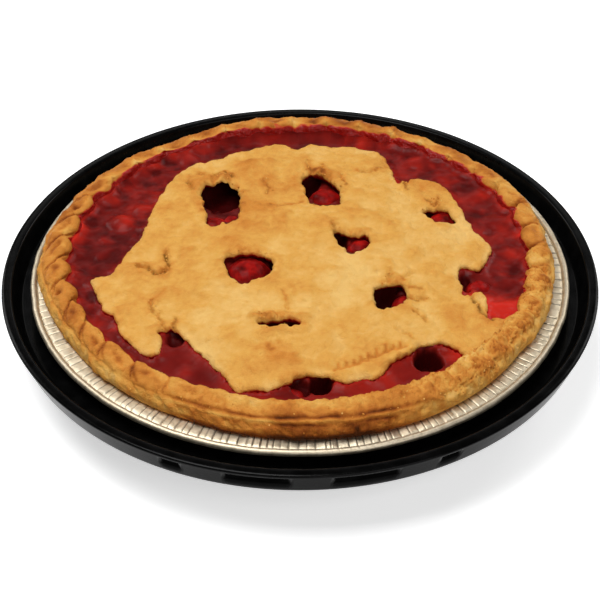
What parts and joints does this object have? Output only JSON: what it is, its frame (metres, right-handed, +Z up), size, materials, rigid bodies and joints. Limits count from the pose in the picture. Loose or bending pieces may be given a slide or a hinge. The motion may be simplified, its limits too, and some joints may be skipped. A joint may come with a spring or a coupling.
{
  "type": "cherry pie",
  "caption": "Round baked pie with a fluted crust rim, a ragged vented top crust and red fruit filling, in a pleated foil tin on a shallow black tray.",
  "frame": {"origin": "centre of the tray's underside, where it rests", "axes": "+Z up; +X and +Y lie in the tray's plane, with the pie's flattened front edge towards -Y"},
  "size_m": [0.2538, 0.2538, 0.0413],
  "materials": {
    "tray_plastic": "thermoformed polystyrene, glossy black",
    "tin_foil": "pressed foil, bright, with pleats round the flange",
    "rim_pastry": null,
    "cherry_gel": null,
    "lid_pastry": null
  },
  "bodies": {
    "root": {"display_tray": "tray_plastic", "foil_tin": "tin_foil", "bottom_crust": "rim_pastry", "cherry_filling": "cherry_gel", "top_crust": "lid_pastry"}
  },
  "joints": []
}
